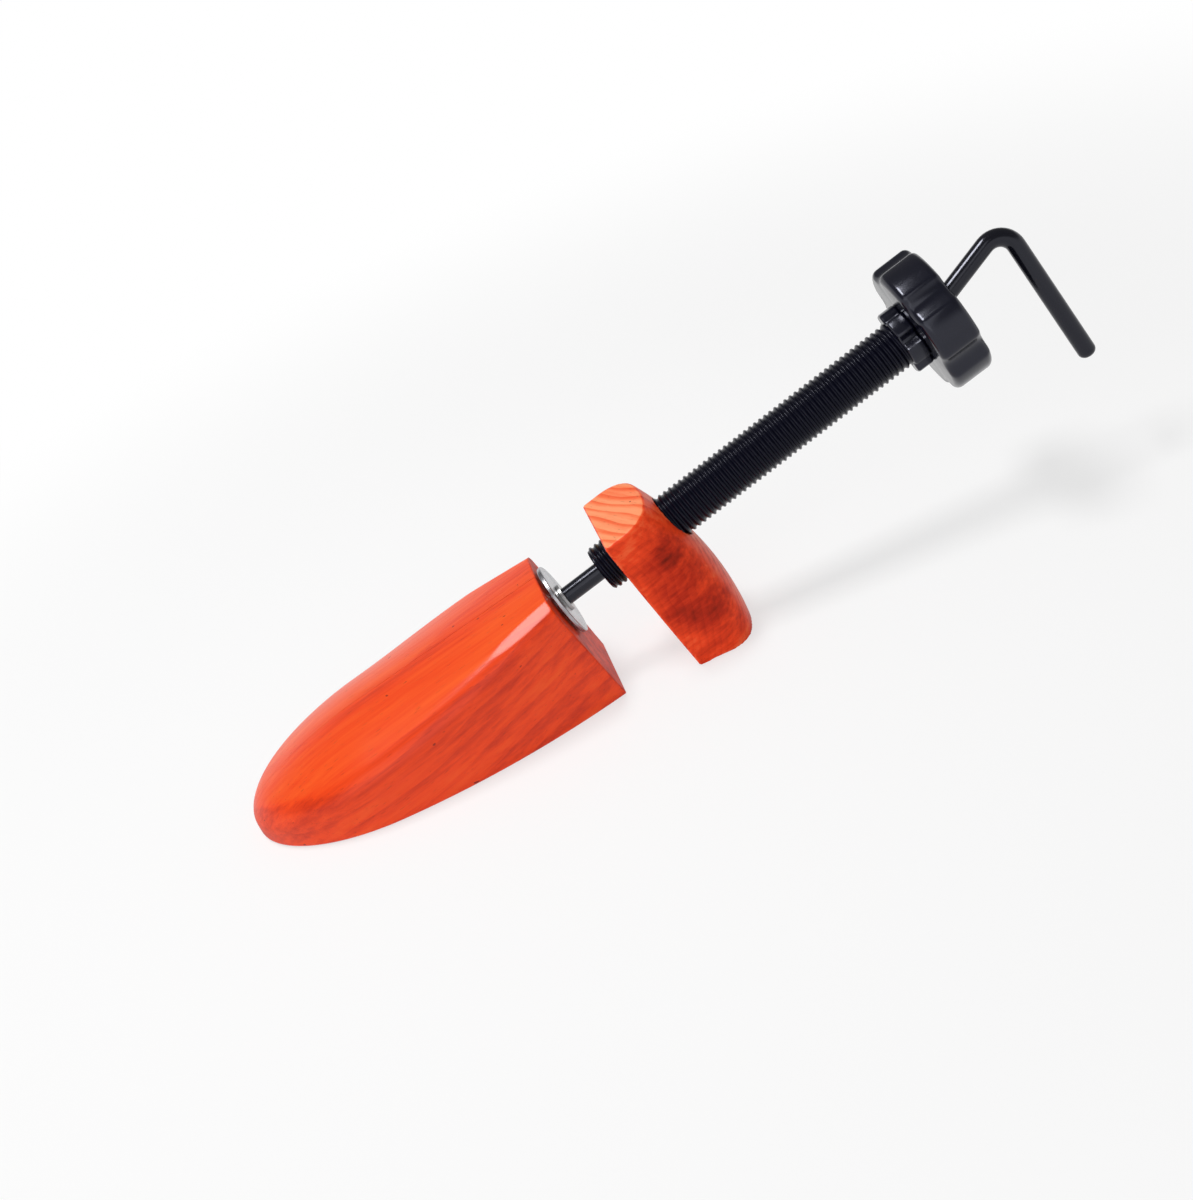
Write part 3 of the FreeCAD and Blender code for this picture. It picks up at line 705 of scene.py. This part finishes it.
# %% Build the threaded tube
tube_low, tube_high = axis_span("length_tube")
_, collar_high = axis_span("thrust_collar")
bush_low, bush_high = axis_span("front_bush")
rear_low, rear_high = axis_span("rear_bush")
_, clip_high = axis_span("rear_clip")
tube_start, tube_end, tube_radius = tube_low.x, tube_high.x, tube_high.y
thread_depth = 0.9 * millimetre
thread_sides = 48
thread_crease = 50  # degrees
end_inset = 1.1 * millimetre  # end face of the tube, inside the thread's outside size
bay_room = 0.35 * millimetre
rod_radius = 3.75 * millimetre
rod_room = 0.75 * millimetre

tube_mesh = from_nodes("threaded_tube", thread, {
    "Outer Radius": tube_radius, "Root Radius": tube_radius - thread_depth, "Pitch": length_pitch,
    "Start": tube_start, "End": tube_end, "Chamfer": end_inset, "Sides": thread_sides, "Finish": tube_black,
})
tube = spun([
    (tube_start, tube_radius - end_inset),
    (tube_start, collar_high.y + bay_room),
    (bush_low.x, collar_high.y + bay_room),
    (bush_low.x, bush_high.y),
    (bush_high.x, bush_high.y),
    (bush_high.x, rod_radius + rod_room),
    (rear_low.x, rod_radius + rod_room),
    (rear_low.x, rear_high.y),
    (rear_high.x, rear_high.y),
    (rear_high.x, clip_high.y + bay_room),
    (tube_end, clip_high.y + bay_room),
    (tube_end, tube_radius - end_inset),
], thread_sides)
tube.from_mesh(tube_mesh)
weld(tube)
tube.transform(axis_frame)
tube_mesh = to_mesh(tube, "threaded_tube", tube_black)
smooth(tube_mesh, thread_crease)
finish_piece("threaded_tube", tube_mesh, "length_screw", "length_tube")

# %% [markdown]
# ## Lobed grips
# Knob and lock nut share one idea: a disc whose rim swells into six lobes with a hollow between each pair.
# Scaling a circle would thin the rounded rim. Here each point of the outline is worked out as a distance in
# from the lobed edge, so the round over the rim keeps its width all the way round.

# %% Shape a lobed grip
grip_lobes = 6
grip_sides = 240
grip_crease = 40  # degrees


def lobed_edge(outer, waist, lobe_share, first_lobe, corner):
    """A function that gives the distance of the lobed edge from the axis at an angle."""
    step = math.tau / grip_lobes
    depth = outer - waist

    def edge(angle):
        off_lobe = abs((angle - first_lobe + step / 2) % step - step / 2) / (step / 2)
        into_hollow = (off_lobe - lobe_share) / (1 - lobe_share)
        inset = depth * into_hollow * (2 - into_hollow)
        return outer - (inset + math.hypot(inset, corner)) / 2

    return edge


def over_rim(front, rear, round_over, steps=6):
    """Points over a rounded rim, as (place, inset), from the front face to the rear face."""
    angles = [math.pi / 2 * i / steps for i in range(steps + 1)]
    quarter = [(round_over * (1 - math.sin(a)), round_over * (1 - math.cos(a))) for a in angles]
    front_quarter = [(front + back, inset) for back, inset in reversed(quarter)]
    return front_quarter + [(rear - back, inset) for back, inset in quarter]


def grip_mesh(name, rim, edge, inner):
    """A closed grip. Rim points are (place, inset from the edge), inner points are (place, radius)."""
    angles = [math.tau * i / grip_sides for i in range(grip_sides)]
    rows = [(place, [edge(a) - inset for a in angles]) for place, inset in rim]
    rows += [(place, [radius] * grip_sides) for place, radius in inner]
    shape = bmesh.new()
    rings = [[shape.verts.new((place, r * math.sin(a), r * math.cos(a))) for a, r in zip(angles, radii)]
             for place, radii in rows]
    for ring, following in zip(rings, rings[1:] + rings[:1]):
        for i in range(grip_sides):
            j = (i + 1) % grip_sides
            shape.faces.new((ring[i], ring[j], following[j], following[i]))
    bmesh.ops.recalc_face_normals(shape, faces=shape.faces)
    shape.transform(axis_frame)
    mesh = to_mesh(shape, name, grip_black)
    smooth(mesh, grip_crease)
    return mesh


print("grips have", grip_lobes, "lobes")

# %% [markdown]
# ## Knob and lock nut
# The knob's six lobes are wide and its hollows shallow, for three fingers and a thumb. Its end face is dished
# a little, with a mouth in the middle for the rod. The lock nut is the same shape in small, with notches that
# are deep for its size.

# %% Build the knob
knob_low, knob_high = axis_span("length_knob")
knob_front, knob_rear = knob_low.x, knob_high.x
knob_radius = 28.5 * millimetre
knob_waist = 26.0 * millimetre
knob_lobe_share = 0.61
knob_corner = 0.5 * millimetre
knob_turn = math.radians(-17)
knob_round = 3.0 * millimetre
dish_depth = 0.8 * millimetre
dish_inset = 5.0 * millimetre
dish_slope = 3.5 * millimetre
mouth_radius = 8.0 * millimetre
mouth_round = 0.9 * millimetre
mouth_halfway = 0.3 * mouth_round  # in from the corner, at the middle of its round

dish = knob_rear - dish_depth
knob_edge = lobed_edge(knob_radius, knob_waist, knob_lobe_share, knob_turn, knob_corner)
knob_rim = over_rim(knob_front, knob_rear, knob_round)
knob_rim += [(knob_rear, dish_inset), (dish, dish_inset + dish_slope)]
knob_inner = [
    (dish, mouth_radius + mouth_round),
    (dish - mouth_halfway, mouth_radius + mouth_halfway),
    (dish - mouth_round, mouth_radius),
    (tube_end, mouth_radius),
    (tube_end, tube_radius),
    (knob_front, tube_radius),
]
knob_mesh = grip_mesh("lobed_knob", knob_rim, knob_edge, knob_inner)
finish_piece("lobed_knob", knob_mesh, "length_screw", "length_knob")

# %% Build the lock nut
nut_low, nut_high = axis_span("lock_nut")
nut_front, nut_rear = nut_low.x, nut_high.x
nut_radius = 13.8 * millimetre
nut_waist = 11.0 * millimetre
nut_lobe_share = 0.56
nut_corner = 0.25 * millimetre
nut_turn = math.radians(-36)
nut_round = 1.0 * millimetre

nut_edge = lobed_edge(nut_radius, nut_waist, nut_lobe_share, nut_turn, nut_corner)
nut_rim = over_rim(nut_front, nut_rear, nut_round)
nut_inner = [(nut_rear, tube_radius), (nut_front, tube_radius)]
nut_mesh = grip_mesh("lugged_lock_nut", nut_rim, nut_edge, nut_inner)
finish_piece("lugged_lock_nut", nut_mesh, "length_screw", "lock_nut")

# %% [markdown]
# ## The crank rod
# The rod is bar stock, bent twice: a slight lean where it leaves the knob, and a sharp bend into the lever.
# It could be cylinders with elbows between them. A path with rounded corners and a circle swept along it is
# nearer to how it is made, so the tree turns a few points into a curve, fillets it, and sweeps it. The scale
# of the circle falls off over the last stretch, which rounds the lever's end.

# %% Sweep a bent rod
bend_steps = 14
rod_sides = 36


def rod_tree():
    """A tree that bends a path at its corners and sweeps a circle along it."""
    sockets = {"Geometry": "Geometry", "Radius": "Float", "End Round": "Float", "Finish": "Material"}
    tree, graph, given = new_tree("bent_rod", sockets)
    path = graph.make("GeometryNodeMeshToCurve", values={"Mesh": given["Geometry"]})
    bend = graph.make("GeometryNodeInputNamedAttribute", {"data_type": "FLOAT"}, {"Name": "bend"})
    bends = {"Curve": path, "Count": bend_steps, "Radius": bend}
    bent = graph.make("GeometryNodeFilletCurve", {"mode": "POLY"}, bends)
    run = graph.outputs("GeometryNodeSplineParameter")["Length"]
    whole = graph.outputs("GeometryNodeSplineLength")["Length"]
    radius, end_round = given["Radius"], given["End Round"]
    short = (end_round - (whole - run)).most(0.0)
    rounding = (end_round * end_round - short * short).most(0.0) ** 0.5
    round_bar = {"Resolution": rod_sides, "Radius": radius}
    circle = graph.make("GeometryNodeCurvePrimitiveCircle", values=round_bar)
    sweep = {"Curve": bent, "Profile Curve": circle, "Scale": (radius - end_round + rounding) / radius,
             "Fill Caps": True}
    close_tree(graph, graph.make("GeometryNodeCurveToMesh", values=sweep), given["Finish"])
    return tree


def path_mesh(corners, bends):
    """Points joined by edges, each with the radius that its corner is bent to."""
    mesh = bpy.data.meshes.new("path")
    mesh.from_pydata(corners, [(i, i + 1) for i in range(len(corners) - 1)], [])
    mesh.attributes.new("bend", "FLOAT", "POINT").data.foreach_set("value", bends)
    return mesh


bent_rod = rod_tree()
print("rod tree with", len(bent_rod.nodes), "nodes")

# %% Build the rod and its spreader thread
rod_low, rod_high = axis_span("crank_rod")
disc_low, _ = axis_span("thrust_disc")
lean = math.radians(16.3)
lever_turn = math.radians(-13)
lean_bend = 12 * millimetre
lever_bend = 8 * millimetre
lever_reach = 51.5 * millimetre
lever_end_round = 2.8 * millimetre
clip_room = 0.3 * millimetre
end_shares = (1.0, 0.75, 0.5, 0.3, 0.15, 0.06, 0.02, 0.0)  # of the rounded end, closer at the tip

lean_place = clip_high.x + clip_room + lean_bend * math.tan(lean / 2)
bend_place = rod_high.x - rod_radius
bend_rise = (bend_place - lean_place) * math.tan(lean)
corners = [(disc_low.x, 0, 0), (lean_place, 0, 0), (bend_place, 0, bend_rise)]
corners += [(bend_place, 0, share * lever_end_round - lever_reach) for share in end_shares]
bends = [0, lean_bend, lever_bend] + [0] * len(end_shares)
rod_mesh = from_nodes("bent_rod", bent_rod, {
    "Radius": rod_radius, "End Round": lever_end_round, "Finish": rod_black,
}, path_mesh(corners, bends))
rod_mesh.transform(Matrix.Rotation(lever_turn, 4, "X"))

screw_radius = 3.5 * millimetre
screw_depth = 0.6 * millimetre
screw_end_inset = 0.7 * millimetre
screw_sides = 24
screw_mesh = from_nodes("spreader_screw", thread, {
    "Outer Radius": screw_radius, "Root Radius": screw_radius - screw_depth, "Pitch": width_pitch,
    "Start": rod_low.x, "End": disc_low.x, "Chamfer": screw_end_inset, "Sides": screw_sides,
    "Finish": frame_steel,
})
rod = spun([(rod_low.x, 0.0), (rod_low.x, screw_radius - screw_end_inset)], screw_sides)
rod.from_mesh(screw_mesh)
weld(rod)
for face in rod.faces:
    face.material_index = 1
rod.from_mesh(rod_mesh)
rod.transform(axis_frame)
crank_mesh = to_mesh(rod, "bent_crank_rod", rod_black)
crank_mesh.materials.append(frame_steel)
smooth(crank_mesh, thread_crease)
finish_piece("bent_crank_rod", crank_mesh, "crank", "crank_rod")

# %% [markdown]
# ## Screws in the flange
# Two countersunk screws hold the sleeve's flange on the heel block. One is modelled with its cross recess,
# and Geometry Nodes set it on a row of points, so a longer flange would only need another count.

# %% Model one screw
screws_low, screws_high = axis_span("insert_screws")
head_radius = 3.4 * millimetre
head_depth = 1.6 * millimetre
head_edge_inset = 0.3 * millimetre
head_edge_depth = 0.15 * millimetre
head_sides = 32
shank_radius = 2.0 * millimetre
recess_length = 3.6 * millimetre
recess_width = 0.9 * millimetre
recess_depth = 1.1 * millimetre
screw_length = screws_high.x - screws_low.x


def screw_object():
    """One countersunk screw along X, with a cross cut into its head."""
    outline = [
        (0.0, 0.0),
        (0.0, head_radius - head_edge_inset),
        (head_edge_depth, head_radius),
        (head_depth, shank_radius),
        (screw_length - shank_radius, shank_radius),
        (screw_length, 0.0),
    ]
    head = spun(outline, head_sides)
    weld(head)
    screw = on_stage("screw", to_mesh(head, "screw", frame_steel))
    cross = bmesh.new()
    for size in ((recess_length, recess_width), (recess_width, recess_length)):
        shape = Matrix.Diagonal((2 * recess_depth, size[0], size[1], 1))
        bmesh.ops.create_cube(cross, size=1, matrix=shape)
    cutter = on_stage("recess", to_mesh(cross, "recess", frame_steel))
    recess = screw.modifiers.new("recess", "BOOLEAN")
    recess.object = cutter
    recess.use_self = True
    screw_shape = baked(screw)
    bpy.data.objects.remove(cutter)
    return on_stage("screw", screw_shape)


one_screw = screw_object()
print("screw", round(screw_length, 4), "m long,", len(one_screw.data.polygons), "faces")

# %% Set a row of screws


def screw_row_tree():
    """A tree that sets a screw on each point of a row."""
    sockets = {"Screw": "Object", "Count": "Int", "First": "Vector", "Step": "Vector", "Finish": "Material"}
    tree, graph, given = new_tree("screw_row", sockets)
    row = {"Count": given["Count"], "Start Location": given["First"], "Offset": given["Step"]}
    points = graph.make("GeometryNodeMeshLine", values=row)
    screw = graph.make("GeometryNodeObjectInfo", values={"Object": given["Screw"]}, output="Geometry")
    placed = graph.make("GeometryNodeInstanceOnPoints", values={"Points": points, "Instance": screw})
    close_tree(graph, placed, given["Finish"])
    return tree


screw_count = 2
screw_offset = screws_high.y - head_radius
screw_step = 2 * screw_offset / (screw_count - 1)
row_mesh = from_nodes("flange_screws", screw_row_tree(), {
    "Screw": one_screw, "Count": screw_count, "First": (screws_low.x, -screw_offset, 0.0),
    "Step": (0.0, screw_step, 0.0), "Finish": frame_steel,
})
bpy.data.objects.remove(one_screw)
row_mesh.transform(axis_frame)
smooth(row_mesh)
finish_piece("flange_screws", row_mesh, "heel", "insert_screws")

# %% [markdown]
# ## Floor and light
# The object stands on a plain white floor under one soft lamp overhead, with a wide and weaker one on the
# near side. The lamp overhead hangs where the planed strip on the toe mirrors it towards the camera. A
# stronger lamp would whiten the floor but bleach the wood. Instead the camera and mirror rays see the floor
# as white paper, while the light on the object stays at a plain level and the shadow stays too. The sky is
# white low down, like the sweep of a studio, and dim above, so that black and varnish keep their depth.

# %% Lay the floor


def seen_directly(graph):
    """1 for rays from the camera, or through a mirror or glass, and 0 for light that falls on the object."""
    rays = graph.outputs("ShaderNodeLightPath")
    return rays["Is Camera Ray"].most(rays["Is Glossy Ray"]).most(rays["Is Transmission Ray"])


floor_half = 20.0  # metres
near_white = 0.65  # share of white close to the object, so that its shadow shows
fade_start, fade_end = 0.25, 0.7  # metres from the middle
corner_signs = ((-1, -1), (1, -1), (1, 1), (-1, 1))
floor_corners = [(x * floor_half, y * floor_half, 0) for x, y in corner_signs]
floor_mesh = bpy.data.meshes.new("floor")
floor_mesh.from_pydata(floor_corners, [], [(0, 1, 2, 3)])
floor_paper = bpy.data.materials.new("floor_paper")
floor_paper.use_nodes = True
floor_paper.node_tree.nodes.clear()
paper = Graph(floor_paper.node_tree)
lit = paper.make("ShaderNodeBsdfDiffuse", values={"Color": (0.9, 0.9, 0.9, 1)})
white = paper.make("ShaderNodeEmission", values={"Color": (1, 1, 1, 1), "Strength": 1.0})
from_object = paper.make("ShaderNodeVectorMath", {"operation": "LENGTH"},
                         {0: paper.outputs("ShaderNodeTexCoord")["Object"]}, output="Value")
white_around = near_white + (1 - near_white) * from_object.step(fade_start, fade_end)
white_share = seen_directly(paper) * white_around
both = paper.make("ShaderNodeMixShader", values={0: white_share, 1: lit, 2: white})
paper.make("ShaderNodeOutputMaterial", values={"Surface": both})
floor_mesh.materials.append(floor_paper)
on_stage("floor", floor_mesh)
print("floor", 2 * floor_half, "m wide")

# %% Hang the lights
sky_light = 0.26
white_below, dim_above = 0.16, 0.40  # heights in a sky of radius 1


def softbox(name, place, size, power):
    """A lamp with a soft rectangular face, turned towards the object. Places and sizes are in metres."""
    data = bpy.data.lights.new(name, "AREA")
    data.shape = "RECTANGLE"
    data.size, data.size_y = size
    data.energy = power
    lamp = on_stage(name, data)
    lamp.location = place
    lamp.rotation_euler = (aim - Vector(place)).to_track_quat("-Z", "Y").to_euler()


softbox("overhead", place=(-0.30, 0.08, 1.10), size=(0.38, 0.24), power=7.4)
softbox("near_side", place=(-0.5, -1.1, 0.75), size=(1.2, 0.9), power=4.3)
world = bpy.data.worlds.new("studio")
world.use_nodes = True
world.node_tree.nodes.clear()
sky = Graph(world.node_tree)
height_in_sky = sky.parts(sky.outputs("ShaderNodeTexCoord")["Object"])[2]
dimming = (1 - sky_light) * height_in_sky.step(white_below, dim_above)
glow = {"Color": (1, 1, 1, 1), "Strength": 1 - dimming}
sky.make("ShaderNodeOutputWorld", values={"Surface": sky.make("ShaderNodeBackground", values=glow)})
bpy.context.scene.world = world
bpy.context.scene.view_settings.view_transform = "Standard"
